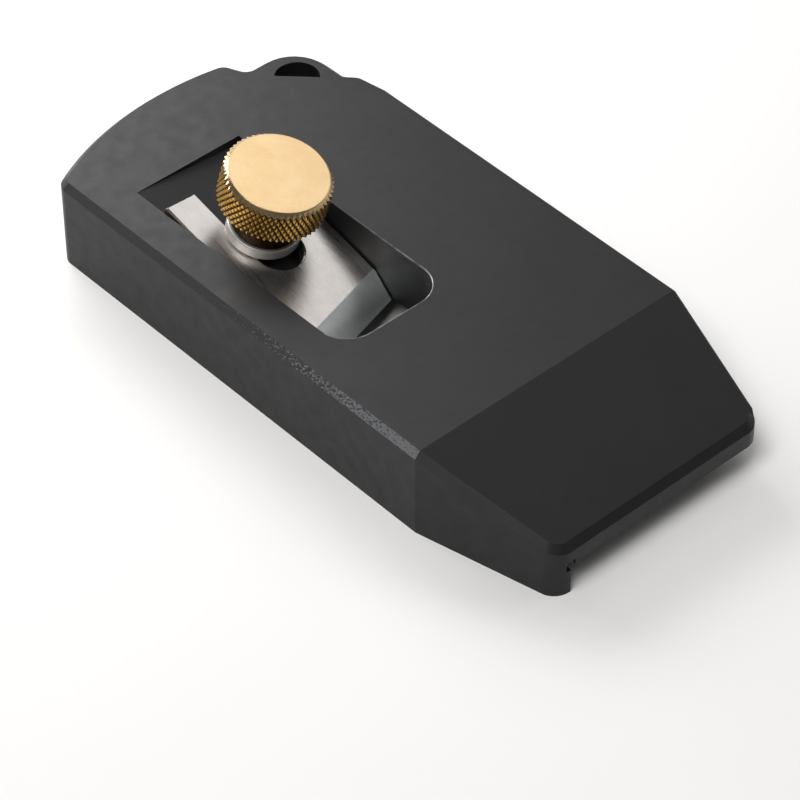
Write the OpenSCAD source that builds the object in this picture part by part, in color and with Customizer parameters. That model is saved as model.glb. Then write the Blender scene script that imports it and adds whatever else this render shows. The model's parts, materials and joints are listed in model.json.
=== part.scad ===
// Edge trimming plane: an aluminium block with a sole and a fence at right angles, a skewed
// bevel-up iron on a sloping bed, and a knurled thumb screw that clamps the iron through a washer.
// +X runs from tail to front, +Y from the fence side to the far side, +Z up.
// The origin is the middle of the footprint, on the lowest face of the fence.

/* [Body] */
// Length from tail to front
body_l = 107.2; // [104:0.2:110]
// Width over both sides
body_w = 50; // [49:0.5:53]
// Height from the foot of the fence to the top face
body_h = 15; // [14.5:0.1:17]
// Height of the sole above the foot of the fence
sole_z = 5; // [4:0.1:5.5]
// Thickness of the fence
fence_t = 8; // [7.5:0.1:9]
// Leg of the chamfer round the top face
edge_chamfer = 1; // [0.5:0.1:1.2]
// Reach of the relief groove each way from the corner where the sole meets the fence
relief = 0.8; // [0.5:0.1:0.9]

/* [Front] */
// Length of the sloping front
ramp_l = 22.6; // [20:0.2:24]
// Fall of the sloping front
ramp_drop = 6.3; // [5:0.1:7]
// How far each side comes in over the sloping front
taper_in = 5.36; // [4:0.02:6]
// Radius of the two front corners, in plan
front_r = 3; // [1:0.5:5]

/* [Tail] */
// Radius of the rounded tail end
tail_r = 49; // [47:1:52]
// Radius of the corner where the fence side meets the tail
tail_corner_r = 2.5; // [1:0.5:2.5]
// Radius of the hanging lug
lug_r = 7; // [6.5:0.1:7.5]
// Radius of the half-round hanging hole
hang_hole_r = 3.5; // [3:0.1:3.6]

/* [Pocket and bed] */
// Length of the pocket on the top face
pocket_l = 45.6; // [44:0.2:47]
// Width of the pocket
pocket_w = 19.6; // [19.5:0.1:21]
// Radius of the pocket's two front corners
pocket_r = 5; // [3:0.5:6]
// Slope of the bed
bed_tilt = 15; // [14:0.1:16]
// Skew of the bed's fall from +X towards the far side
skew = 16; // [15:0.1:17]
// How far the mouth is cut below the sole, into the fence
mouth_below = 1; // [1:0.1:1.5]

/* [Iron] */
// Thickness of the iron
blade_t = 2.5; // [2:0.1:3]
// Angle of the bevel, which faces up
bevel_angle = 28.5; // [25:0.5:32]
// Width of the slot for the clamp screw
slot_w = 7.5; // [6.8:0.1:8]
// Depth of the cutting edge below the sole
edge_out = 0.2; // [0.1:0.05:0.4]

/* [Clamp] */
// Outer diameter of the threaded stud
stud_d = 6; // [5:0.5:6]
// Radial clearance of the stud in the body's thread
stud_play = 0.05; // [0.02:0.01:0.1]
// Outer diameter of the spacer washer
washer_d = 11.1; // [10:0.1:12]
// Thickness of the spacer washer
washer_t = 2; // [1.5:0.1:2.5]
// Diameter of the knob's neck
neck_d = 10.4; // [9.5:0.1:11]
// Height of the knob's neck
neck_h = 5; // [4:0.1:6]
// Diameter of the knurled head
knob_d = 16.5; // [14:0.1:18]
// Height of the knurled band
knurl_h = 5.2; // [4:0.1:6]
// Leg of the chamfer round the top of the head
knob_chamfer = 0.85; // [0.4:0.05:1]

/* [Hidden] */
$fn = 64;
eps = 0.01;
far_out = 200;       // longer than any cut needs to be

// Edges of the footprint
tail_x = -body_l / 2;
front_x = body_l / 2;
near_y = -body_w / 2;
far_y = body_w / 2;
crease_x = front_x - ramp_l;
fence_y = near_y + fence_t;
ramp_fall = atan(ramp_drop / ramp_l);
taper_turn = atan(taper_in / ramp_l);

// Tail end and hanging lug: the far tail corner is stepped in, and the lug fills the step
tail_mid_y = near_y + 24.7;
lug_x = tail_x + 5.1;
lug_y = far_y - 1.9;
lug_near_y = lug_y - 10.25;
lug_front_x = lug_x + 10.8;
lug_fillet = 1;
shoulder_r = 2.5;
shoulder_y = lug_near_y - 1.65;
shoulder_x = lug_front_x + 2;
hang_x = lug_x + 6.6;
hang_y = lug_y - 5.9;
tail_near_turn = asin((near_y - tail_mid_y) / tail_r);      // ends of the tail's arc, from -X
tail_far_turn = asin((shoulder_y - tail_mid_y) / tail_r);
tail_steps = 14;
tail_over = 3;       // how far the envelope of the tail stands off below its slopes

// Pocket, with its tail edge square and its front corners round
pocket_x = tail_x + 16.5;
pocket_y = near_y + 7;
pocket_front_x = pocket_x + pocket_l;
pocket_far_y = pocket_y + pocket_w;

// The bed falls along X by bed_fall and towards the far side by bed_roll
bed_fall = atan(tan(bed_tilt) * cos(skew));
bed_roll = asin(sin(bed_tilt) * sin(skew));
bed_skew = atan(tan(skew) * cos(bed_tilt));   // the same skew, measured in the bed's own plane

// Places on the bed: u runs down its length and v across it, both from its near tail corner
blade_play = 0.1;    // gap between the iron and each pocket wall
bed_gap = 0.02;      // gap below the iron, so that two bodies never share a face
blade_tail_u = 5.9;
blade_near_v = blade_play;
blade_far_v = pocket_w / cos(bed_roll) - 2.5 * blade_play;
screw_u = 16.9;
screw_v = 9.45;
slot_front_u = 20.7;
edge_d = (body_h - sole_z + edge_out) / sin(bed_tilt);   // cutting edge, down the line of steepest fall

// Heights up the clamp's axis, from the bed
washer_z = blade_t + 2 * bed_gap;
neck_z = washer_z + washer_t;
head_z = neck_z + neck_h;
knob_top_z = head_z + knurl_h + knob_chamfer;
stud_low_z = -4.2;   // its tilted end stays inside the sole
stud_high_z = head_z + 3;
washer_hole_d = stud_d + 0.5;
knob_lip = 0.4;      // chamfer under the knurled head

// A point of the tail's arc, by its turn from the line that runs straight back
function tail_point(turn) = [tail_x + tail_r * (1 - cos(turn)), tail_mid_y + tail_r * sin(turn)];

// The turn of one of its steps, counted from the lug to the fence side
function tail_turn(i) = tail_far_turn + (tail_near_turn - tail_far_turn) * i / tail_steps;

// Plan of the body, counter-clockwise: x, y and corner radius
BODY_PLAN = [
    [each tail_point(tail_near_turn), tail_corner_r],
    [crease_x, near_y, 0],
    [front_x, near_y + taper_in, front_r],
    [front_x, far_y - taper_in, front_r],
    [crease_x, far_y, 0],
    [shoulder_x, far_y, shoulder_r],
    [lug_front_x, lug_y, lug_fillet],
    [lug_x, lug_y, lug_r],
    [lug_x, lug_near_y, lug_fillet],
    [each tail_point(tail_far_turn), shoulder_r],
    for (i = [1:tail_steps - 1]) [each tail_point(tail_turn(i)), 0],
];

POCKET_PLAN = [
    [pocket_x, pocket_y, 0],
    [pocket_front_x, pocket_y, pocket_r],
    [pocket_front_x, pocket_far_y, pocket_r],
    [pocket_x, pocket_far_y, 0],
];

function unit(v) = v / norm(v);

// Points of one corner p, rounded by r between the points a and b before and after it
function corner(a, p, b, r) =
    r == 0 ? [p] :
    let (
        to_a = unit(a - p),
        to_b = unit(b - p),
        half = acos(to_a * to_b) / 2,
        centre = p + unit(to_a + to_b) * r / sin(half),
        first = p + to_a * r / tan(half) - centre,
        left = cross(to_a, to_b) < 0 ? 1 : -1,
        from = atan2(first.y, first.x),
        sweep = left * (180 - 2 * half),
        steps = max(3, ceil(abs(sweep) / 12))
    )
    [for (i = [0:steps]) centre + r * [cos(from + sweep * i / steps), sin(from + sweep * i / steps)]];

// Every point of a plan whose corners are [x, y, radius]
function rounded(plan) =
    let (n = len(plan), at = function (i) [plan[(i + n) % n].x, plan[(i + n) % n].y])
    [for (i = [0:n - 1]) each corner(at(i - 1), at(i), at(i + 1), plan[i][2])];

// Puts its children on the bed: x down its length, y across it, z square to it
module on_bed() {
    translate([pocket_x, pocket_y, body_h])
        rotate([0, bed_fall, 0])
            rotate([-bed_roll, 0, 0])
                children();
}

module on_screw_axis(z) {
    on_bed() translate([screw_u, screw_v, z]) children();
}

// Cuts a chamfer of leg edge_chamfer along a straight top edge
module edge_cut(at, fall, turn, l) {
    side = edge_chamfer * sqrt(2);
    translate(at)
        rotate([0, fall, turn])
            rotate([45, 0, 0])
                translate([-eps, -side / 2, -side / 2])
                    cube([l + 2 * eps, side, side]);
}

module top_chamfers() {
    ramp_edge = norm([ramp_l, taper_in]);
    ramp_edge_fall = atan(ramp_drop / ramp_edge);
    ramp_edge_l = norm([ramp_edge, ramp_drop]);
    near_start_x = tail_point(tail_near_turn).x;
    edge_cut([near_start_x, near_y, body_h], 0, 0, crease_x - near_start_x);
    edge_cut([shoulder_x, far_y, body_h], 0, 0, crease_x - shoulder_x);
    edge_cut([crease_x, near_y, body_h], ramp_edge_fall, taper_turn, ramp_edge_l);
    edge_cut([crease_x, far_y, body_h], ramp_edge_fall, -taper_turn, ramp_edge_l);
    edge_cut([front_x, near_y, body_h - ramp_drop], 0, 90, body_w);
}

// The block stays inside this: its slopes cut the same chamfer along the tail's arc
module tail_envelope() {
    low_r = tail_r + tail_over;
    high_r = tail_r - edge_chamfer - 1;
    plan = low_r * [
        for (i = [0:tail_steps]) [-cos(tail_turn(i)), sin(tail_turn(i))],
        [-cos(tail_near_turn) - sin(tail_near_turn), sin(tail_near_turn) - cos(tail_near_turn)],
        [4, sin(tail_near_turn) - cos(tail_near_turn)],
        [4, sin(tail_far_turn) + cos(tail_far_turn)],
        [-cos(tail_far_turn) + sin(tail_far_turn), sin(tail_far_turn) + cos(tail_far_turn)],
    ];
    low_z = body_h - edge_chamfer - tail_over;
    translate([tail_x + tail_r, tail_mid_y, low_z]) {
        linear_extrude(low_r - high_r, scale = high_r / low_r) polygon(plan);
        translate([0, 0, -body_h]) linear_extrude(body_h) polygon(plan);
    }
}

// Everything in front of the crease and above the sloping front
module ramp_cut() {
    translate([crease_x, -far_out / 2, body_h])
        rotate([0, ramp_fall, 0])
            cube([far_out, far_out, far_out]);
}

// The pocket is cut down to the bed, and through the sole in front of it
module pocket_cut() {
    intersection() {
        translate([0, 0, sole_z - mouth_below])
            linear_extrude(body_h)
                polygon(rounded(POCKET_PLAN));
        on_bed()
            translate([-far_out / 2, -far_out / 2, 0])
                cube([far_out, far_out, far_out]);
    }
}

// A half-round hole right through the lug, with its flat side towards the middle of the body
module hang_hole() {
    translate([hang_x, hang_y, -eps])
        rotate([0, 0, 45])
            difference() {
                cylinder(r = hang_hole_r, h = body_h + 2 * eps);
                translate([-far_out / 2, -far_out, -eps]) cube([far_out, far_out, body_h + 4 * eps]);
            }
}

module plane_body() {
    color("#2c2d2f")
        difference() {
            intersection() {
                linear_extrude(body_h) polygon(rounded(BODY_PLAN));
                tail_envelope();
            }
            translate([-far_out / 2, fence_y, -far_out])
                cube([far_out, far_out, far_out + sole_z]);
            translate([-far_out / 2, fence_y - relief, sole_z - relief])
                cube([far_out, 2 * relief, 2 * relief]);
            ramp_cut();
            top_chamfers();
            pocket_cut();
            hang_hole();
            on_screw_axis(-far_out / 10)
                cylinder(d = stud_d + 2 * stud_play, h = far_out / 10 + 1);
        }
}

module blade_plan() {
    difference() {
        translate([blade_tail_u, blade_near_v])
            square([edge_d, blade_far_v - blade_near_v]);
        translate([slot_front_u, screw_v]) circle(d = slot_w);
        translate([0, screw_v - slot_w / 2]) square([slot_front_u, slot_w]);
    }
}

module blade() {
    color("#cfcac6")
        on_bed()
            translate([0, 0, bed_gap])
                difference() {
                    linear_extrude(blade_t) blade_plan();
                    rotate([0, 0, bed_skew])
                        translate([edge_d, -far_out / 2, 0])
                            rotate([0, bevel_angle, 0])
                                translate([-far_out / 2, 0, 0])
                                    cube([far_out, far_out, far_out]);
                }
}

module spacer_washer() {
    color("#8f9094")
        on_screw_axis(washer_z)
            difference() {
                cylinder(d = washer_d, h = washer_t);
                translate([0, 0, -1]) cylinder(d = washer_hole_d, h = washer_t + 2);
            }
}

module clamp_stud() {
    color("#a3a3a0")
        on_screw_axis(stud_low_z)
            cylinder(d = stud_d, h = stud_high_z - stud_low_z);
}

module thumb_knob() {
    head_r = knob_d / 2;
    neck_r = neck_d / 2;
    bore_r = stud_d / 2;
    color("#c58b2a")
        on_screw_axis(0)
            rotate_extrude()
                polygon([
                    [bore_r, neck_z],
                    [neck_r, neck_z],
                    [neck_r, head_z],
                    [head_r - knob_lip, head_z],
                    [head_r, head_z + knob_lip],
                    [head_r, knob_top_z - knob_chamfer],
                    [head_r - knob_chamfer, knob_top_z],
                    [0, knob_top_z],
                    [0, stud_high_z],
                    [bore_r, stud_high_z],
                ]);
}

plane_body();
blade();
spacer_washer();
clamp_stud();
thumb_knob();
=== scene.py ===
"""Looks of a palm-sized edge trimming plane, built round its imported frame.

Every piece is shaped in millimetres and brought to metres when it is put in place. The row frame
has +X from tail to front, +Y from the fence side to the far side and +Z up. The iron and the clamp
are shaped on the bed: x down its length, y across it and z up the clamp's axis.
"""

import json
import logging
import math
from contextlib import contextmanager
from dataclasses import dataclass, field
from enum import Enum
from typing import Callable, Iterator, Sequence

import bmesh
import bpy
from mathutils import Matrix, Vector


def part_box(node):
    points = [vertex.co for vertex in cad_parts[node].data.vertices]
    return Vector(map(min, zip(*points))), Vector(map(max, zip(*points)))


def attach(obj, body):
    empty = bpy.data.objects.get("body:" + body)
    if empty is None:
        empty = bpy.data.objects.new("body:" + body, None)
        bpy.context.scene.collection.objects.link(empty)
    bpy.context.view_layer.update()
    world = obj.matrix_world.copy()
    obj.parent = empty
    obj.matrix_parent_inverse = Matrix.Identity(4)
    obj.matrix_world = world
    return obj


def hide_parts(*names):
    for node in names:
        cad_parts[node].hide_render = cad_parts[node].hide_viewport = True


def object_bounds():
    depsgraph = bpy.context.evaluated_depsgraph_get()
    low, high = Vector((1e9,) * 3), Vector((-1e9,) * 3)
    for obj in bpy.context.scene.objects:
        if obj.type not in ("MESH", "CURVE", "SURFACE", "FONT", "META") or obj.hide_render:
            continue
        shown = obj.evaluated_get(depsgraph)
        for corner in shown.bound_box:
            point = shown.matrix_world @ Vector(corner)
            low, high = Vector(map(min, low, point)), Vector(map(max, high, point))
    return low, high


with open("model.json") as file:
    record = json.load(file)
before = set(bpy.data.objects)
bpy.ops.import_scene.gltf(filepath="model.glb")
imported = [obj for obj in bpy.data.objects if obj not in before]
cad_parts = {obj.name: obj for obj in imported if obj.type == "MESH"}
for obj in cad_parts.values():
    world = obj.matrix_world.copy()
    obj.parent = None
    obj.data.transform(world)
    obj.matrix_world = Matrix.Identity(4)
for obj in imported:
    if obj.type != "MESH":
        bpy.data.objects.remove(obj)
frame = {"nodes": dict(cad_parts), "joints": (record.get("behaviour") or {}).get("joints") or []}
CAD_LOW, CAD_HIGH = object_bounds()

log = logging.getLogger("edge_plane")
MM = 0.001
PICK_GAP = 1e-3  # mm; how near a point has to be to count as being at a place
MERGE_GAP = 0.01  # mm; points closer than this are one point once a cut is made
SHADE_ANGLE = math.radians(32)
SAME_WAY = 0.999  # least cosine between two directions that count as the same
CREASE_GAP = 0.2  # mm; the chamfer pulls the ends of the crease back by less than this
CHAMFER_GAP = 0.12  # mm; how far a chamfer's corner may lie off its straight line


class Element(Enum):
    """What an operator picks from a mesh."""

    VERTEX = "VERT"
    EDGE = "EDGE"
    FACE = "FACE"


class BlockSlot(Enum):
    """Material slots of the block."""

    OXIDE = 0
    WORN_RIM = 1
    SCUFFED_EDGE = 2


class IronSlot(Enum):
    """Material slots of the iron."""

    FACE = 0
    BEVEL = 1
    EDGES = 2


class KnobSlot(Enum):
    """Material slots of the knob."""

    TURNED = 0
    KNURLED = 1


# ---- places


@dataclass(frozen=True)
class Bed:
    """The sloping bed: the point where the clamp's axis meets it, and its directions."""

    origin: Vector
    along: Vector
    up: Vector

    @classmethod
    def from_joints(cls, joints: Sequence[dict]) -> "Bed":
        """Reads the bed from the joints of the frame.

        Args:
            joints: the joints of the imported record.

        Returns:
            The bed, with its origin in millimetres.
        """
        named = {joint["name"]: joint for joint in joints}
        turn = named["clamp_turn"]
        return cls(
            origin=Vector(turn["pos_m"]) / MM,
            along=Vector(named["blade_slide"]["axis"]).normalized(),
            up=Vector(turn["axis"]).normalized(),
        )

    @property
    def matrix(self) -> Matrix:
        """Bed to row frame, in millimetres."""
        across = self.up.cross(self.along).normalized()
        turn = Matrix((self.along, across, self.up)).transposed()
        return Matrix.Translation(self.origin) @ turn.to_4x4()

    @property
    def level(self) -> Vector:
        """The level direction in the bed's plane, in the bed's own axes: the cutting edge runs along it."""
        row = self.up.cross(Vector((0, 0, 1))).normalized()
        local = self.matrix.to_3x3().inverted() @ row
        return local if local.y > 0 else -local

    def box(self, node: str) -> tuple[Vector, Vector]:
        """Lowest and highest corner of a CAD node in the bed's axes, in millimetres.

        Args:
            node: the node's name.

        Returns:
            The two corners.
        """
        to_bed = self.matrix.inverted() @ Matrix.Scale(1 / MM, 4)
        points = [to_bed @ vertex.co for vertex in frame["nodes"][node].data.vertices]
        low = Vector([min(p[axis] for p in points) for axis in range(3)])
        high = Vector([max(p[axis] for p in points) for axis in range(3)])
        return low, high


BED = Bed.from_joints(frame["joints"])


# ---- modelling


def only(thing: bpy.types.Object) -> None:
    """Makes thing the one selected and active object."""
    bpy.ops.object.select_all(action="DESELECT")
    thing.select_set(True)
    bpy.context.view_layer.objects.active = thing


class Workpiece:
    """A mesh on the bench, shaped in millimetres by operators in edit mode."""

    def __init__(self, name: str) -> None:
        """Takes up the object that was just added."""
        self.object = bpy.context.active_object
        self.object.name = name
        self.object.data.name = name

    @classmethod
    def cuboid(cls, name: str, low: Sequence[float], high: Sequence[float]) -> "Workpiece":
        """A cube stretched between two corners."""
        middle = [(a + b) / 2 for a, b in zip(low, high)]
        bpy.ops.object.select_all(action="DESELECT")
        bpy.ops.mesh.primitive_cube_add(size=1, location=middle, scale=[b - a for a, b in zip(low, high)])
        piece = cls(name)
        bpy.ops.object.transform_apply(location=True, rotation=True, scale=True)
        return piece

    @classmethod
    def rod(
        cls, name: str, radius: float, low: Sequence[float], height: float, sides: int = 48
    ) -> "Workpiece":
        """An upright round rod that starts at low."""
        bpy.ops.object.select_all(action="DESELECT")
        middle = (low[0], low[1], low[2] + height / 2)
        bpy.ops.mesh.primitive_cylinder_add(vertices=sides, radius=radius, depth=height, location=middle)
        piece = cls(name)
        bpy.ops.object.transform_apply(location=True, rotation=True, scale=True)
        return piece

    @classmethod
    def outline(cls, name: str, points: Sequence[Sequence[float]], closed: bool) -> "Workpiece":
        """A ring of vertices, each then moved to its own point.

        Args:
            name: the object's name.
            points: where the vertices go, in order.
            closed: True for a filled flat outline, False for an open chain of edges.

        Returns:
            The outline.
        """
        bpy.ops.object.select_all(action="DESELECT")
        fill = "NGON" if closed else "NOTHING"
        bpy.ops.mesh.primitive_circle_add(vertices=len(points), radius=1, fill_type=fill)
        piece = cls(name)
        starts = [vertex.co.copy() for vertex in piece.object.data.vertices]
        with piece.editing():
            if not closed:
                ends = {0, len(points) - 1}
                piece.pick(Element.EDGE, lambda edge: {v.index for v in edge.verts} == ends)
                bpy.ops.mesh.delete(type="EDGE_FACE")
            for index, (start, point) in enumerate(zip(starts, points)):
                piece.pick(Element.VERTEX, lambda vertex, index=index: vertex.index == index)
                bpy.ops.transform.translate(value=Vector(point) - start)
        return piece

    @classmethod
    def prism(cls, name: str, plan: Sequence[Sequence[float]], low: float, high: float) -> "Workpiece":
        """A flat outline drawn up into a solid between two heights."""
        piece = cls.outline(name, [(x, y, low) for x, y in plan], closed=True)
        with piece.editing():
            bpy.ops.mesh.select_all(action="SELECT")
            bpy.ops.mesh.extrude_region_move(TRANSFORM_OT_translate={"value": (0, 0, high - low)})
            piece.face_outwards()
        return piece

    @classmethod
    def turned(
        cls,
        name: str,
        profile: Sequence[tuple[float, float]],
        sides: int,
        rise: float = 0.0,
        turns: int = 1,
    ) -> "Workpiece":
        """A profile turned round the z axis, as on a lathe, or wound up it as a thread.

        Args:
            name: the object's name.
            profile: radius and height of each point.
            sides: steps in one turn.
            rise: how far the profile climbs in one turn.
            turns: how many turns it makes.

        Returns:
            The turned piece.
        """
        piece = cls.outline(name, [(radius, 0, height) for radius, height in profile], closed=False)
        screw = piece.object.modifiers.new("turn", "SCREW")
        screw.axis = "Z"
        screw.angle = 2 * math.pi
        screw.steps = screw.render_steps = sides
        screw.screw_offset = rise
        screw.iterations = turns
        screw.use_merge_vertices = True
        screw.merge_threshold = PICK_GAP
        piece.apply(screw)
        with piece.editing():
            bpy.ops.mesh.select_all(action="SELECT")
            bpy.ops.mesh.remove_doubles(threshold=PICK_GAP)
            piece.face_outwards()
        return piece

    @contextmanager
    def editing(self) -> Iterator[None]:
        """Edit mode on this piece alone."""
        only(self.object)
        bpy.ops.object.mode_set(mode="EDIT")
        yield
        bpy.ops.object.mode_set(mode="OBJECT")

    def pick(self, kind: Element, test: Callable[..., bool]) -> None:
        """Selects, in edit mode, the elements that pass a test.

        Args:
            kind: what to pick.
            test: takes one vertex, edge or face.
        """
        bpy.ops.mesh.select_mode(type=kind.value)
        bpy.ops.mesh.select_all(action="DESELECT")
        mesh = bmesh.from_edit_mesh(self.object.data)
        items = {Element.VERTEX: mesh.verts, Element.EDGE: mesh.edges, Element.FACE: mesh.faces}[kind]
        for item in [item for item in items if test(item)]:
            item.select_set(True)
        mesh.select_flush_mode()
        bmesh.update_edit_mesh(self.object.data)

    def face_outwards(self) -> None:
        """Turns every face of a closed mesh outwards, in edit mode."""
        bpy.ops.mesh.select_all(action="SELECT")
        bpy.ops.mesh.normals_make_consistent(inside=False)

    def bevel(self, test: Callable[..., bool], width: float, segments: int = 1, slot: int = -1) -> None:
        """Bevels the edges that pass a test.

        Args:
            test: takes one edge.
            width: distance of each new edge from the old one.
            segments: 1 for a flat chamfer, more for a round one.
            slot: material slot of the new faces, or -1 to keep what is beside them.
        """
        with self.editing():
            self.pick(Element.EDGE, test)
            bpy.ops.mesh.bevel(
                offset_type="OFFSET",
                offset=width,
                segments=segments,
                profile=0.5,
                affect="EDGES",
                clamp_overlap=False,
                material=slot,
            )

    def bisect(self, point: Sequence[float], normal: Sequence[float], slot: int | None = None) -> None:
        """Cuts everything on the normal's side of a plane away and closes the cut.

        Args:
            point: a point of the plane.
            normal: the plane's normal, towards the waste.
            slot: material slot of the face that closes the cut.
        """
        way = Vector(normal).normalized()
        offset = way.dot(Vector(point))
        with self.editing():
            bpy.ops.mesh.select_all(action="SELECT")
            bpy.ops.mesh.bisect(plane_co=point, plane_no=way, use_fill=True, clear_outer=True)
            if slot is not None:
                self.pick(
                    Element.FACE,
                    lambda face: face.normal.dot(way) > SAME_WAY
                    and abs(face.calc_center_median().dot(way) - offset) < PICK_GAP,
                )
                self.object.active_material_index = slot
                bpy.ops.object.material_slot_assign()

    def paint(self, slot: int, test: Callable[..., bool]) -> None:
        """Gives the faces that pass a test a material slot."""
        with self.editing():
            self.pick(Element.FACE, test)
            self.object.active_material_index = slot
            bpy.ops.object.material_slot_assign()

    def resize(self, test: Callable[..., bool], factors: Sequence[float], centre: Sequence[float]) -> None:
        """Scales the vertices that pass a test about a centre."""
        with self.editing():
            self.pick(Element.VERTEX, test)
            bpy.ops.transform.resize(value=factors, center_override=centre)

    def apply(self, modifier: bpy.types.Modifier) -> None:
        """Applies one modifier."""
        only(self.object)
        bpy.ops.object.modifier_apply(modifier=modifier.name)

    def cut(self, cutter: "Workpiece") -> None:
        """Takes the cutter's shape out of this piece, and the cutter away."""
        boolean = self.object.modifiers.new("cut", "BOOLEAN")
        boolean.operation = "DIFFERENCE"
        boolean.solver = "EXACT"
        boolean.object = cutter.object
        self.apply(boolean)
        bpy.data.objects.remove(cutter.object)
        with self.editing():
            bpy.ops.mesh.select_all(action="SELECT")
            bpy.ops.mesh.remove_doubles(threshold=MERGE_GAP)

    def sharpen(self, test: Callable[..., bool]) -> None:
        """Marks the edges that pass a test, so that shading stops at them however slight they are."""
        with self.editing():
            self.pick(Element.EDGE, test)
            bpy.ops.mesh.mark_sharp()

    def soften(self, width: float, segments: int = 2, angle: float = 25.0) -> None:
        """Rounds the edges that are left sharp, apart from those too short to take it.

        Args:
            width: width of the rounding.
            segments: steps across it.
            angle: the least angle in degrees between two faces that counts as sharp.
        """
        self.bevel(
            lambda edge: edge.calc_face_angle(0) > math.radians(angle) and edge.calc_length() > 4 * width,
            width,
            segments=segments,
        )

    def place(self, to_row: Matrix = Matrix.Identity(4)) -> None:
        """Applies the way to the row frame, and millimetres to metres, to the mesh itself."""
        only(self.object)
        self.object.matrix_world = Matrix.Scale(MM, 4) @ to_row
        bpy.ops.object.transform_apply(location=True, rotation=True, scale=True)

    def shade(self) -> None:
        """Smooths the shading, apart from sharp edges, and keeps the large faces flat."""
        only(self.object)
        bpy.ops.object.shade_smooth_by_angle(angle=SHADE_ANGLE, keep_sharp_edges=True)
        weighted = self.object.modifiers.new("flat faces", "WEIGHTED_NORMAL")
        weighted.keep_sharp = True
        weighted.weight = 100
        self.apply(weighted)

    def give(self, materials: Sequence[bpy.types.Material]) -> None:
        """Sets the material slots, in order."""
        self.object.data.materials.clear()
        for material in materials:
            self.object.data.materials.append(material)


def hand_in(piece: Workpiece, body: str, node: str) -> None:
    """Hangs a piece on the empty of the body it rides on, and hides the CAD node that it stands in for.

    Args:
        piece: the finished piece.
        body: a body of the frame.
        node: the CAD node that it replaces.
    """
    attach(piece.object, body)
    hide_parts(node)
    log.info("%s: %d faces on body %s", piece.object.name, len(piece.object.data.polygons), body)


# ---- finishes


def linear(code: str) -> tuple[float, float, float, float]:
    """Turns an sRGB hex colour such as "#c58b2a" into Blender's linear colour."""
    parts = [int(code[i : i + 2], 16) / 255 for i in (1, 3, 5)]
    red, green, blue = [p / 12.92 if p <= 0.04045 else ((p + 0.055) / 1.055) ** 2.4 for p in parts]
    return red, green, blue, 1.0


def add(tree: bpy.types.NodeTree, kind: str, settings: dict | None = None, inputs: dict | None = None):
    """Adds a node.

    Args:
        tree: the node tree.
        kind: the node's type.
        settings: the node's own properties.
        inputs: value or socket for each input, by name or index.

    Returns:
        The node.
    """
    node = tree.nodes.new(kind)
    for key, value in (settings or {}).items():
        setattr(node, key, value)
    for key, value in (inputs or {}).items():
        if isinstance(value, bpy.types.NodeSocket):
            tree.links.new(value, node.inputs[key])
        else:
            node.inputs[key].default_value = value
    return node


class Finish:
    """What every finish shares: a material, its shader and millimetre coordinates."""

    name: str

    def start(self, roughness: float, metallic: float) -> None:
        """Makes the material and its shader.

        Args:
            roughness: the shader's roughness where nothing drives it.
            metallic: the shader's metallic.
        """
        self.material = bpy.data.materials.new(self.name)
        self.material.use_nodes = True
        self.tree = self.material.node_tree
        self.shader = next(n for n in self.tree.nodes if n.type == "BSDF_PRINCIPLED")
        self.shader.inputs["Roughness"].default_value = roughness
        self.shader.inputs["Metallic"].default_value = metallic

    def node(self, kind: str, settings: dict | None = None, inputs: dict | None = None):
        """Adds a node to this finish."""
        return add(self.tree, kind, settings, inputs)

    def coordinates(self, to_row: Matrix = Matrix.Identity(4), stretch: Sequence[float] = (1, 1, 1)):
        """Object coordinates in millimetres, measured from a place on the piece.

        Args:
            to_row: the place and turn that the pattern starts from, in millimetres.
            stretch: how many times longer the pattern is each way.

        Returns:
            The socket of the coordinates.
        """
        spot = self.node("ShaderNodeTexCoord")
        placed = self.node(
            "ShaderNodeMapping",
            {"vector_type": "TEXTURE"},
            {
                "Vector": spot.outputs["Object"],
                "Location": to_row.translation * MM,
                "Rotation": to_row.to_euler("XYZ"),
                "Scale": [MM * s for s in stretch],
            },
        )
        return placed.outputs["Vector"]

    def noise(self, vector, size: float, detail: float = 2.0, roughness: float = 0.5):
        """Noise whose lumps are size millimetres across; returns its value socket."""
        return self.node(
            "ShaderNodeTexNoise",
            inputs={"Vector": vector, "Scale": 1 / size, "Detail": detail, "Roughness": roughness},
        ).outputs["Fac"]

    def spread(self, value, low: float, high: float, to_low: float = 0.0, to_high: float = 1.0):
        """Stretches low to high into to_low to to_high, held at both ends."""
        return self.node(
            "ShaderNodeMapRange",
            inputs={"Value": value, "From Min": low, "From Max": high, "To Min": to_low, "To Max": to_high},
        ).outputs["Result"]

    def blend(self, amount, first, second):
        """Mixes two colours, each a socket or a hex code."""
        colours = [linear(c) if isinstance(c, str) else c for c in (first, second)]
        mixed = self.node(
            "ShaderNodeMix", {"data_type": "RGBA"}, {0: amount, 6: colours[0], 7: colours[1]}
        )
        return mixed.outputs[2]

    def maths(self, operation: str, *values):
        """One step of arithmetic on sockets or numbers."""
        return self.node(
            "ShaderNodeMath", {"operation": operation}, dict(enumerate(values))
        ).outputs["Value"]

    def bump(self, height, depth: float, strength: float = 1.0) -> None:
        """Drives the shader's normal from a height that goes from 0 to depth millimetres."""
        normal = self.node(
            "ShaderNodeBump", inputs={"Height": height, "Distance": depth * MM, "Strength": strength}
        )
        self.link("Normal", normal.outputs["Normal"])

    def link(self, socket: str, value) -> None:
        """Joins a value to one of the shader's sockets."""
        self.tree.links.new(value, self.shader.inputs[socket])


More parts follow.
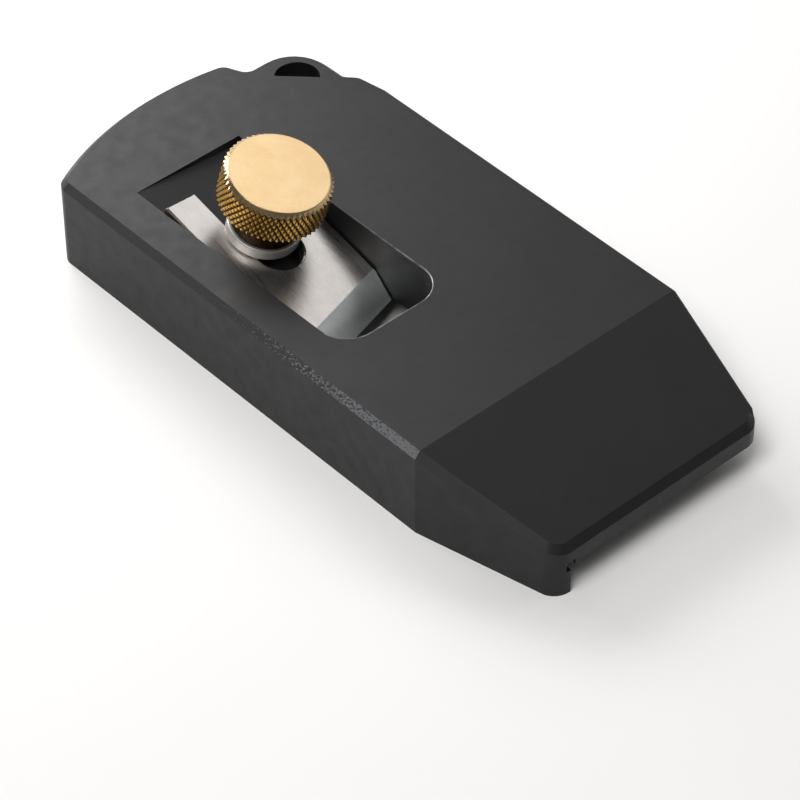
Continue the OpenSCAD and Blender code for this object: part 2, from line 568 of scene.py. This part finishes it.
@dataclass
class BlastedAnodising(Finish):
    """Bead-blasted aluminium, anodised black: an even, matt, slightly grey black with a fine grain."""

    name: str = "blasted_black_anodising"
    colour: str = "#0f0f10"
    cloud: str = "#131314"
    roughness: float = 0.5
    grain: float = 0.22  # real blasting is about 0.1 mm; drawn coarser so that it shows

    def build(self) -> bpy.types.Material:
        """Makes the material."""
        self.start(self.roughness, 0.0)
        self.shader.inputs["IOR"].default_value = 1.42
        place = self.coordinates()
        clouds = self.noise(place, 9.0, 3)
        grain = self.noise(place, self.grain, 2, 0.6)
        self.link("Base Color", self.blend(self.spread(clouds, 0.3, 0.7), self.colour, self.cloud))
        self.link(
            "Roughness",
            self.spread(self.noise(place, 2.5, 4), 0.3, 0.7, self.roughness - 0.04, self.roughness + 0.05),
        )
        self.bump(grain, 0.02, 0.55)
        return self.material


@dataclass
class WornRim(Finish):
    """The sharp rim of the pocket, where handling has rubbed the black down to grey metal."""

    name: str = "worn_pocket_rim"

    def build(self) -> bpy.types.Material:
        """Makes the material."""
        self.start(0.38, 0.0)
        place = self.coordinates()
        wear = self.spread(self.noise(place, 1.6, 3), 0.35, 0.6)
        self.link("Base Color", self.blend(wear, "#4c4d50", "#96979a"))
        self.link("Metallic", self.spread(wear, 0.0, 1.0, 0.2, 0.8))
        self.bump(self.noise(place, 0.25, 2), 0.02, 0.5)
        return self.material


@dataclass
class ScuffedChamfer(Finish):
    """The chamfer on the fence side: black at the tail, with knocks down to bright metal at the front."""

    start_x: float
    end_x: float
    name: str = "scuffed_fence_side_chamfer"
    speck: float = 0.3

    def build(self) -> bpy.types.Material:
        """Makes the material."""
        self.start(0.5, 0.0)
        place = self.coordinates()
        along = self.node("ShaderNodeSeparateXYZ", inputs={"Vector": place}).outputs["X"]
        share = self.spread(along, self.start_x, self.end_x)
        limit = self.spread(share, 0.25, 1.0, 0.74, 0.38)
        specks = self.noise(self.coordinates(stretch=(1.6, 1, 1)), self.speck, 4, 0.7)
        bare = self.spread(self.maths("SUBTRACT", specks, limit), 0.0, 0.06)
        dull = self.blend(share, "#0f0f10", "#1c1d1e")
        self.link("Base Color", self.blend(bare, dull, "#7e7f82"))
        self.link("Metallic", self.spread(bare, 0.0, 1.0, 0.0, 0.75))
        self.link("Roughness", self.spread(bare, 0.0, 1.0, 0.55, 0.4))
        self.bump(self.maths("MULTIPLY", specks, -1.0), 0.08, 0.6)
        return self.material


@dataclass
class GroundSteel(Finish):
    """Hardened tool steel, ground: bright and satin, with fine parallel scratches from the wheel."""

    name: str
    colour: str
    to_row: Matrix
    roughness: float
    scratch: float  # width of one scratch, mm; real ones are a quarter of this
    depth: float
    patches: float = 0.05

    def build(self) -> bpy.types.Material:
        """Makes the material."""
        self.start(self.roughness, 1.0)
        lines = self.coordinates(self.to_row, stretch=(28, 1, 8))
        scratches = self.noise(lines, self.scratch, 5, 0.65)
        clouds = self.noise(self.coordinates(self.to_row), 1.6, 3)
        tone = self.spread(self.maths("ADD", scratches, self.maths("MULTIPLY", clouds, 0.5)), 0.5, 1.0)
        darker = linear(self.colour)
        darker = tuple(c * 0.8 for c in darker[:3]) + (1.0,)
        self.link("Base Color", self.blend(tone, darker, self.colour))
        low, high = self.roughness - self.patches, self.roughness + self.patches
        self.link("Roughness", self.spread(scratches, 0.3, 0.7, low, high))
        self.bump(scratches, self.depth, 0.6)
        return self.material


@dataclass
class TurnedMetal(Finish):
    """Metal turned on a lathe: fine rings round the axis, which smear highlights into a soft bow."""

    name: str
    colour: str
    stain: str
    roughness: float
    metallic: float = 1.0
    pitch: float = 0.16  # real feed is about 0.05 mm; drawn coarser so that it shows
    depth: float = 0.004

    def rings(self, place):
        """Height of the turning marks, by distance from the axis and by height."""
        axes = self.node("ShaderNodeSeparateXYZ", inputs={"Vector": place}).outputs
        flat = self.node("ShaderNodeCombineXYZ", inputs={"X": axes["X"], "Y": axes["Y"]}).outputs["Vector"]
        radius = self.node("ShaderNodeVectorMath", {"operation": "LENGTH"}, {0: flat}).outputs["Value"]
        feed = self.maths("ADD", radius, axes["Z"])
        spot = self.node("ShaderNodeCombineXYZ", inputs={"X": feed}).outputs["Vector"]
        return radius, self.noise(spot, self.pitch, 3, 0.7)

    def build(self) -> bpy.types.Material:
        """Makes the material."""
        self.start(self.roughness, self.metallic)
        place = self.coordinates(BED.matrix)
        _, marks = self.rings(place)
        clouds = self.spread(self.noise(place, 3.5, 4), 0.35, 0.7)
        self.link("Base Color", self.blend(clouds, self.colour, self.stain))
        self.link(
            "Roughness", self.spread(marks, 0.3, 0.7, self.roughness - 0.03, self.roughness + 0.05)
        )
        self.bump(marks, self.depth, 0.5)
        return self.material


@dataclass
class KnurledBrass(TurnedMetal):
    """Rolled diamond knurl: bright crests, and dark brown painted into the grooves as painted shade."""

    root_radius: float = 7.9
    crest_radius: float = 8.25
    # painted shade: the dark brown that stands in for the shadow down in the knurl's grooves
    groove: str = "#2a1705"

    def build(self) -> bpy.types.Material:
        """Makes the material."""
        self.start(self.roughness, self.metallic)
        place = self.coordinates(BED.matrix)
        radius, marks = self.rings(place)
        # painted shade: the mask runs from dark brown in the grooves to full metal on the crests, by
        # distance from the axis
        rise = self.spread(radius, self.root_radius, self.crest_radius)
        patchy = self.maths("ADD", rise, self.maths("MULTIPLY", self.noise(place, 0.5, 3), 0.35))
        clear_of_groove_shade = self.spread(patchy, 0.2, 0.75)
        clouds = self.spread(self.noise(place, 2.0, 3), 0.35, 0.7)
        metal = self.blend(clouds, self.colour, self.stain)
        self.link("Base Color", self.blend(clear_of_groove_shade, self.groove, metal))
        self.link("Roughness", self.spread(clear_of_groove_shade, 0.0, 1.0, 0.5, self.roughness))
        self.bump(marks, self.depth, 0.4)
        return self.material


@dataclass
class PaleFloor(Finish):
    """A plain matt studio floor."""

    name: str = "pale_floor"
    colour: str = "#e4e3e1"

    def build(self) -> bpy.types.Material:
        """Makes the material."""
        self.start(0.75, 0.0)
        self.shader.inputs["Base Color"].default_value = linear(self.colour)
        return self.material


# ---- the block


@dataclass(frozen=True)
class PlanCorner:
    """One corner of a plan, in millimetres, with the radius that rounds it."""

    x: float
    y: float
    radius: float = 0.0


@dataclass
class Block:
    """The one milled block: sole, fence, sloping front, pocket with its bed, and hanging lug."""

    sole: float = 5.0
    fence: float = 8.0
    relief: float = 0.8
    chamfer: float = 1.0  # leg of the chamfer round the top
    far_chamfer: float = 0.3  # leg of the narrower one on the far side
    ramp_length: float = 22.6
    ramp_drop: float = 6.3
    taper: float = 5.36
    front_radius: float = 3.0
    tail_radius: float = 49.0
    tail_middle: float = 24.7
    tail_corner_radius: float = 2.5
    tail_steps: int = 16
    lug_in: float = 5.1
    lug_side: float = 1.9
    lug_radius: float = 7.0
    lug_fillet: float = 1.0
    shoulder_radius: float = 2.5
    hole_radius: float = 3.5
    pocket_in: float = 16.5
    pocket_side: float = 7.0
    pocket_length: float = 45.6
    pocket_width: float = 19.6
    pocket_radius: float = 5.0
    mouth_below: float = 1.0
    bore_radius: float = 3.05
    bore_depth: float = 20.0  # far enough to come out below
    rim: float = 0.17
    overrun: float = 5.0
    low: Vector = field(default_factory=lambda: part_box("plane_body")[0] / MM)
    high: Vector = field(default_factory=lambda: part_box("plane_body")[1] / MM)

    @property
    def tail(self) -> float:
        """x of the tail's furthest point: the footprint is centred on the origin."""
        return -self.high.x

    @property
    def crease(self) -> float:
        """x of the line where the front begins to slope."""
        return self.high.x - self.ramp_length

    @property
    def lug(self) -> tuple[float, float]:
        """The lug's square corner, before it is rounded."""
        return self.tail + self.lug_in, self.high.y - self.lug_side

    def tail_point(self, turn: float) -> tuple[float, float]:
        """A point of the tail's arc, by its angle from the line straight back."""
        x = self.tail + self.tail_radius * (1 - math.cos(turn))
        return x, self.low.y + self.tail_middle + self.tail_radius * math.sin(turn)

    def plan(self) -> list[PlanCorner]:
        """The footprint, counter-clockwise."""
        near, far, front = self.low.y, self.high.y, self.high.x
        lug_x, lug_y = self.lug
        step_y = lug_y - 10.25
        shoulder_y = step_y - 1.65
        lug_front = lug_x + 10.8
        near_turn = -math.asin(self.tail_middle / self.tail_radius)
        far_turn = math.asin((shoulder_y - near - self.tail_middle) / self.tail_radius)
        sweep = near_turn - far_turn
        arc = [self.tail_point(far_turn + sweep * i / self.tail_steps) for i in range(self.tail_steps + 1)]
        return [
            PlanCorner(*arc[-1], self.tail_corner_radius),
            PlanCorner(self.crease, near),
            PlanCorner(front, near + self.taper, self.front_radius),
            PlanCorner(front, far - self.taper, self.front_radius),
            PlanCorner(self.crease, far),
            PlanCorner(lug_front + 7, far),
            PlanCorner(lug_front + 2, far, self.shoulder_radius),
            PlanCorner(lug_front, lug_y, self.lug_fillet),
            PlanCorner(lug_x, lug_y, self.lug_radius),
            PlanCorner(lug_x, step_y, self.lug_fillet),
            PlanCorner(*arc[0], self.shoulder_radius),
            *[PlanCorner(*point) for point in arc[1:-1]],
        ]

    def round_corners(self, piece: Workpiece) -> None:
        """Rounds the upright edges of the plan, each by its own radius."""
        plan = self.plan()
        for index, corner in enumerate(plan):
            if not corner.radius:
                continue
            before, after = plan[index - 1], plan[(index + 1) % len(plan)]
            spot = Vector((corner.x, corner.y))
            first = (Vector((before.x, before.y)) - spot).normalized()
            second = (Vector((after.x, after.y)) - spot).normalized()
            tangent = corner.radius / math.tan(first.angle(second) / 2)
            piece.bevel(
                lambda edge, spot=spot: all((v.co.xy - spot).length < PICK_GAP for v in edge.verts),
                tangent,
                segments=8,
            )

    def chamfer_top(self, piece: Workpiece) -> None:
        """Chamfers the whole outline of the top and the sloping front: insets both, then lowers the rim."""
        with piece.editing():
            piece.pick(Element.FACE, lambda face: face.normal.z > 0.9)
            bpy.ops.mesh.inset(thickness=self.chamfer, depth=0, use_even_offset=True)
            piece.pick(
                Element.VERTEX,
                lambda vertex: vertex.co.z > self.low.z + self.chamfer
                and any(abs(face.normal.z) < 0.1 for face in vertex.link_faces),
            )
            bpy.ops.transform.translate(value=(0, 0, -self.chamfer))
            self.tighten_far_side(piece)
            piece.pick(Element.VERTEX, lambda vertex: abs(vertex.co.z - self.high.z) < 0.1)
            bpy.ops.transform.resize(value=(1, 1, 0), center_override=(0, 0, self.high.z))

    def tighten_far_side(self, piece: Workpiece) -> None:
        """Moves the far side's chamfer out: only a narrow one is left from the lug to the front corner."""
        spare = self.chamfer - self.far_chamfer
        start = self.plan()[5].x - PICK_GAP
        corner = self.high.x - 0.75 * self.front_radius
        slope = self.ramp_drop / self.ramp_length
        taper = self.taper / self.ramp_length

        def height(x: float) -> float:
            """Height of the top or of the sloping front at x."""
            return self.high.z - max(0.0, x - self.crease) * slope

        def side(x: float) -> float:
            """y of the far side at x."""
            return self.high.y - max(0.0, x - self.crease) * taper

        def on_far_side(vertex: bmesh.types.BMVert, inset: float, drop: float) -> bool:
            """True for a vertex of the far chamfer's edge that is inset and lowered by these."""
            x, y, z = vertex.co
            aside = abs(side(x) - inset - y)
            above = abs(height(x) - drop - z)
            return start < x < corner and max(aside, above) < CHAMFER_GAP

        piece.pick(Element.VERTEX, lambda vertex: on_far_side(vertex, self.chamfer, 0.0))
        bpy.ops.transform.translate(value=(0, spare, 0))
        piece.pick(Element.VERTEX, lambda vertex: on_far_side(vertex, 0.0, self.chamfer))
        bpy.ops.transform.translate(value=(0, 0, spare))

    def cut_underside(self, piece: Workpiece) -> None:
        """Clears the step under the sole, and the relief groove in its corner."""
        reach = self.high.x + self.overrun
        face = self.low.y + self.fence
        low = (-reach, face, self.low.z - self.overrun)
        piece.cut(Workpiece.cuboid("step", low, (reach, self.high.y + self.overrun, self.sole)))
        low = (-reach, face - self.relief, self.sole - self.relief)
        piece.cut(Workpiece.cuboid("groove", low, (reach, face + self.relief, self.sole + self.relief)))

    def cut_pocket(self, piece: Workpiece) -> None:
        """Mills the pocket down to the sloping bed, and out through the sole in front of it."""
        back = self.tail + self.pocket_in
        near = self.low.y + self.pocket_side
        front, far = back + self.pocket_length, near + self.pocket_width
        cutter = Workpiece.cuboid(
            "pocket", (back, near, self.sole - self.mouth_below), (front, far, self.high.z + self.overrun)
        )
        cutter.bevel(
            lambda edge: all(abs(v.co.x - front) < PICK_GAP for v in edge.verts)
            and abs(edge.verts[0].co.y - edge.verts[1].co.y) < PICK_GAP,
            self.pocket_radius,
            segments=14,
        )
        cutter.bisect((back, near, self.high.z), -BED.up)
        piece.cut(cutter)

        def on_rim(edge: bmesh.types.BMEdge) -> bool:
            """True for an edge of the pocket's mouth in the top face."""
            inside = [
                abs(v.co.z - self.high.z) < PICK_GAP
                and back - PICK_GAP <= v.co.x <= front + PICK_GAP
                and near - PICK_GAP <= v.co.y <= far + PICK_GAP
                for v in edge.verts
            ]
            reach = self.pocket_radius
            worn = all(v.co.y > far - reach or v.co.x > front - reach for v in edge.verts)
            return all(inside) and worn and edge.calc_face_angle(0) > math.radians(20)

        piece.bevel(on_rim, self.rim, segments=2, slot=BlockSlot.WORN_RIM.value)

    def cut_holes(self, piece: Workpiece) -> None:
        """Cuts the half-round hanging hole and the hole for the stud."""
        lug_x, lug_y = self.lug
        centre = (lug_x + 6.6, lug_y - 5.9, self.low.z - self.overrun)
        depth = self.high.z - self.low.z + 2 * self.overrun
        cutter = Workpiece.rod("hanging", self.hole_radius, centre, depth)
        cutter.bisect(centre, (1, -1, 0))
        piece.cut(cutter)
        foot = (0, 0, -self.bore_depth)
        bore = Workpiece.rod("bore", self.bore_radius, foot, self.bore_depth + self.overrun)
        only(bore.object)
        bore.object.matrix_world = BED.matrix
        bpy.ops.object.transform_apply(location=True, rotation=True, scale=True)
        piece.cut(bore)

    def build(self) -> Workpiece:
        """Makes the block.

        Returns:
            The finished piece.
        """
        plan = [(corner.x, corner.y) for corner in self.plan()]
        piece = Workpiece.prism("milled_block", plan, self.low.z, self.high.z)
        start_x = self.plan()[0].x
        piece.give(
            [
                BlastedAnodising().build(),
                WornRim().build(),
                ScuffedChamfer(start_x=start_x, end_x=self.crease).build(),
            ]
        )
        self.round_corners(piece)
        fall = Vector((self.ramp_drop, 0, self.ramp_length))
        piece.bisect((self.crease, 0, self.high.z), fall)
        self.chamfer_top(piece)
        outwards = Vector((0, -1, 1)).normalized()
        piece.paint(
            BlockSlot.SCUFFED_EDGE.value,
            lambda face: face.normal.dot(outwards) > SAME_WAY
            and face.calc_center_median().x < self.crease,
        )
        self.cut_underside(piece)
        self.cut_pocket(piece)
        self.cut_holes(piece)
        piece.sharpen(lambda edge: all(abs(v.co.x - self.crease) < CREASE_GAP for v in edge.verts))
        piece.shade()
        piece.place()
        hand_in(piece, "plane", "plane_body")
        return piece


# ---- the iron


@dataclass
class Iron:
    """The skewed bevel-up iron: a ground plate with an open slot, sharpened on its upper side."""

    slot_radius: float = 3.75
    slot_front: float = 3.8  # from the clamp's axis to the centre of the slot's round end
    bevel_angle: float = 28.5
    ground_edge: float = 0.28
    overrun: float = 5.0

    def build(self) -> Workpiece:
        """Makes the iron.

        Returns:
            The finished piece.
        """
        low, high = BED.box("blade")
        piece = Workpiece.cuboid("skewed_iron", low, high)
        level = BED.level
        ahead = Vector((level.y, -level.x, 0))
        angle = math.radians(self.bevel_angle)
        grind = Matrix.Rotation(math.atan2(level.y, level.x) - math.pi / 2 + math.radians(16), 4, "Z")
        piece.give(
            [
                GroundSteel("ground_iron_face", "#d6d1cd", BED.matrix, 0.3, 0.18, 0.006).build(),
                GroundSteel("ground_iron_bevel", "#c3c6c6", BED.matrix @ grind, 0.5, 0.2, 0.02).build(),
                GroundSteel("ground_iron_edges", "#9a9896", BED.matrix, 0.3, 0.3, 0.006).build(),
            ]
        )
        slot = Workpiece.cuboid(
            "slot",
            (low.x - self.overrun, -self.slot_radius, low.z - self.overrun),
            (self.slot_front + self.slot_radius, self.slot_radius, high.z + self.overrun),
        )
        slot.bevel(
            lambda edge: all(v.co.x > self.slot_front for v in edge.verts)
            and abs(edge.verts[0].co.y - edge.verts[1].co.y) < PICK_GAP,
            self.slot_radius - PICK_GAP,
            segments=12,
        )
        piece.cut(slot)
        piece.bevel(
            lambda edge: all(abs(v.co.z - high.z) < PICK_GAP for v in edge.verts)
            and not all(abs(v.co.x - high.x) < PICK_GAP for v in edge.verts)
            and edge.calc_face_angle(0) > 1,
            self.ground_edge,
            slot=IronSlot.EDGES.value,
        )
        corner = (high.x, low.y, low.z)
        waste = ahead * math.sin(angle) + Vector((0, 0, math.cos(angle)))
        piece.bisect(corner, waste, slot=IronSlot.BEVEL.value)
        piece.soften(0.05, segments=2, angle=40)
        piece.shade()
        piece.place(BED.matrix)
        hand_in(piece, "iron", "blade")
        return piece


# ---- the clamp


@dataclass
class Clamp:
    """The thumb screw and its washer, all turned round one axis."""

    sides: int = 112  # two for each diamond of the knurl
    washer_edge: float = 0.3
    neck_radius: float = 5.2
    blind_bore: float = 8.0
    knurl_height: float = 5.3
    knurl_depth: float = 0.36
    knurl_rows: int = 7
    head_chamfer: float = 0.75
    head_lip: float = 0.4
    top_edge: float = 0.12
    thread_pitch: float = 1.0
    thread_depth: float = 0.6

    def build_washer(self) -> Workpiece:
        """Makes the spacer washer."""
        low, high = BED.box("spacer_washer")
        outer, edge = high.x, self.washer_edge
        bore = BED.box("clamp_stud")[1].x + 0.25
        piece = Workpiece.turned(
            "spacer_ring",
            [
                (bore, low.z + edge / 2),
                (bore + edge / 2, low.z),
                (outer - edge, low.z),
                (outer, low.z + edge),
                (outer, high.z - edge / 2),
                (outer - edge / 2, high.z),
                (bore + edge / 2, high.z),
                (bore, high.z - edge / 2),
                (bore, low.z + edge / 2),
            ],
            self.sides,
        )
        piece.give([TurnedMetal("turned_grey_washer", "#c9c5c0", "#b4b1ad", 0.45, 0.6).build()])
        piece.soften(0.06)
        piece.shade()
        piece.place(BED.matrix)
        hand_in(piece, "clamp_washer", "spacer_washer")
        return piece

    def build_stud(self) -> Workpiece:
        """Makes the threaded stud: one pitch of thread wound up the axis, cut square at both ends."""
        low, high = BED.box("clamp_stud")
        crest = high.x
        root = crest - self.thread_depth
        pitch = self.thread_pitch
        turns = math.ceil((high.z - low.z) / pitch) + 2
        piece = Workpiece.turned(
            "threaded_stud",
            [
                (root, low.z - pitch),
                (root, low.z - 0.75 * pitch),
                (crest, low.z - 0.44 * pitch),
                (crest, low.z - 0.31 * pitch),
                (root, low.z),
            ],
            48,
            rise=pitch,
            turns=turns,
        )
        piece.bisect((0, 0, high.z), (0, 0, 1))
        piece.bisect((0, 0, low.z), (0, 0, -1))
        piece.resize(lambda v: abs(v.co.z - low.z) < PICK_GAP, (0.86, 0.86, 1), (0, 0, low.z))
        piece.give([TurnedMetal("rolled_steel_thread", "#a9a9a6", "#8d8c88", 0.3).build()])
        with piece.editing():
            piece.face_outwards()
        piece.shade()
        piece.place(BED.matrix)
        hand_in(piece, "clamp_screw", "clamp_stud")
        return piece

    def knob_profile(self, low: Vector, high: Vector, bore: float) -> list[tuple[float, float]]:
        """Radius and height of the knob's outline, from the blind bore to the middle of the top.

        Args:
            low: lowest corner of the CAD knob on the bed.
            high: its highest corner.
            bore: radius of the bore that holds the stud.

        Returns:
            The outline, with one point for each row of the knurl.
        """
        outer, neck = high.x, self.neck_radius
        root = outer - self.knurl_depth
        band_top = high.z - self.head_chamfer
        band_low = band_top - self.knurl_height + self.head_lip
        head = band_top - self.knurl_height
        step = (band_top - band_low) / self.knurl_rows
        band = [(root, band_low + row * step) for row in range(self.knurl_rows + 1)]
        flat = outer - self.head_chamfer
        return [
            (0, low.z + self.blind_bore),
            (bore, low.z + self.blind_bore),
            (bore, low.z),
            (neck - 0.3, low.z),
            (neck, low.z + 0.3),
            (neck, head - 0.35),
            (neck + 0.35, head),
            (root - self.head_lip, head),
            *band,
            (flat + 0.1, high.z - 0.12),
            (flat, high.z - 0.03),
            (flat - 0.18, high.z),
            (0, high.z),
        ]

    def build_knob(self) -> Workpiece:
        """Makes the knob, and presses the diamonds of the knurl out of its band."""
        low, high = BED.box("thumb_knob")
        outer = high.x
        root = outer - self.knurl_depth
        bore = BED.box("clamp_stud")[1].x
        piece = Workpiece.turned("knurled_knob", self.knob_profile(low, high, bore), self.sides)
        band_top = high.z - self.head_chamfer
        band_low = band_top - self.knurl_height + self.head_lip
        step = (band_top - band_low) / self.knurl_rows
        turn = 2 * math.pi / self.sides

        def on_band(vertex: bmesh.types.BMVert) -> bool:
            """True for a vertex of the knurled band."""
            return (
                abs(vertex.co.xy.length - root) < 0.01
                and band_low - PICK_GAP < vertex.co.z < band_top + PICK_GAP
            )

        def on_crest(vertex: bmesh.types.BMVert) -> bool:
            """True for every second vertex of each row, staggered from row to row."""
            column = round(math.atan2(vertex.co.y, vertex.co.x) / turn)
            row = round((vertex.co.z - band_low) / step)
            return on_band(vertex) and (column + row) % 2 == 1

        swell = outer / root
        piece.resize(on_crest, (swell, swell, 1), (0, 0, 0))
        with piece.editing():
            piece.pick(
                Element.FACE,
                lambda face: band_low < face.calc_center_median().z < band_top
                and face.calc_center_median().xy.length > root - 0.1
                and abs(face.normal.z) < 0.6,
            )
            bpy.ops.mesh.quads_convert_to_tris(quad_method="SHORTEST_DIAGONAL")
        piece.give(
            [
                TurnedMetal("turned_brass", "#dfc296", "#d9b98a", 0.24).build(),
                KnurledBrass(
                    "knurled_brass", "#eec272", "#e2ae58", 0.26, root_radius=root, crest_radius=outer
                ).build(),
            ]
        )
        piece.paint(
            KnobSlot.KNURLED.value,
            lambda face: band_low - self.head_lip - 6 < face.calc_center_median().z < band_top,
        )
        piece.shade()
        piece.place(BED.matrix)
        hand_in(piece, "clamp_screw", "thumb_knob")
        return piece

    def build(self) -> None:
        """Makes the three pieces of the clamp."""
        self.build_washer()
        self.build_stud()
        self.build_knob()


# ---- the studio


@dataclass(frozen=True)
class SoftBox:
    """One soft square light, aimed at the middle of the object.

    Attributes:
        name: the light's name.
        azimuth: where it stands, in degrees; 0 is on the fence side and 90 at the front.
        elevation: its height above the floor, in degrees.
        distance: its distance, in millimetres.
        size: its side, in millimetres.
        power: its power in watts.
    """

    name: str
    azimuth: float
    elevation: float
    distance: float
    size: float
    power: float

    def build(self) -> None:
        """Makes the light."""
        data = bpy.data.lights.new(self.name, "AREA")
        data.shape = "SQUARE"
        data.size = self.size * MM
        data.energy = self.power
        light = bpy.data.objects.new(self.name, data)
        bpy.context.collection.objects.link(light)
        away = direction(self.azimuth, self.elevation)
        light.location = (CAD_LOW + CAD_HIGH) / 2 + away * self.distance * MM
        light.rotation_mode = "QUATERNION"
        light.rotation_quaternion = away.to_track_quat("Z", "Y")


def direction(azimuth: float, elevation: float) -> Vector:
    """The way out from the object at an azimuth and elevation, in degrees."""
    a, e = math.radians(azimuth), math.radians(elevation)
    return Vector((math.sin(a) * math.cos(e), -math.cos(a) * math.cos(e), math.sin(e)))


@dataclass
class Studio:
    """Pale floor, soft light and the camera."""

    azimuth: float = 48.07
    elevation: float = 43.245
    roll: float = -0.305
    lens: float = 170.9
    distance: float = 515.1
    aim: tuple[float, float, float] = (25.9, -23.1, 20.4)
    floor_size: float = 6000.0
    lights: tuple[SoftBox, ...] = (
        SoftBox("key_over_tail", 252, 33, 330, 140, 0.5),
        SoftBox("sheen_on_top", 225, 46, 600, 300, 0.2),
        SoftBox("sheen_on_brass", 198, 56, 320, 135, 0.063),
        SoftBox("glow_on_bevel", 149, 36, 500, 220, 0.3),
        SoftBox("glint_on_knurl", -82, 24, 400, 180, 0.9),
        SoftBox("fill_over_camera", 20, 62, 800, 400, 5.0),
    )

    def build_camera(self) -> None:
        """Makes the camera and makes it the scene's own."""
        data = bpy.data.cameras.new("camera")
        data.lens = self.lens
        data.sensor_width = 36.0
        data.clip_start = 0.01
        data.clip_end = 20.0
        camera = bpy.data.objects.new("camera", data)
        bpy.context.collection.objects.link(camera)
        back = direction(self.azimuth, self.elevation)
        camera.location = (Vector(self.aim) + back * self.distance) * MM
        camera.rotation_mode = "QUATERNION"
        turn = (-back).to_track_quat("-Z", "Y").to_matrix()
        roll = Matrix.Rotation(math.radians(self.roll), 3, "Z")
        camera.rotation_quaternion = (turn @ roll).to_quaternion()
        bpy.context.scene.camera = camera

    def build_floor(self) -> None:
        """Makes the floor at the foot of the fence."""
        bpy.ops.object.select_all(action="DESELECT")
        bpy.ops.mesh.primitive_plane_add(size=self.floor_size * MM, location=(0, 0, CAD_LOW.z))
        floor = bpy.context.active_object
        floor.name = "floor"
        floor.data.materials.append(PaleFloor().build())

    def build_world(self) -> None:
        """Makes the dim, even light from all round."""
        world = bpy.data.worlds.new("studio")
        world.use_nodes = True
        background = world.node_tree.nodes["Background"]
        background.inputs["Color"].default_value = linear("#f2f2f2")
        background.inputs["Strength"].default_value = 0.1
        bpy.context.scene.world = world
        bpy.context.scene.view_settings.view_transform = "Standard"

    def build(self) -> None:
        """Makes the whole studio."""
        self.build_camera()
        self.build_floor()
        self.build_world()
        for light in self.lights:
            light.build()


def main() -> None:
    """Builds the studio, then every piece in order."""
    logging.basicConfig(level=logging.INFO, format="%(name)s: %(message)s")
    Studio().build()
    Block().build()
    Iron().build()
    Clamp().build()


if __name__ == "__main__":
    main()
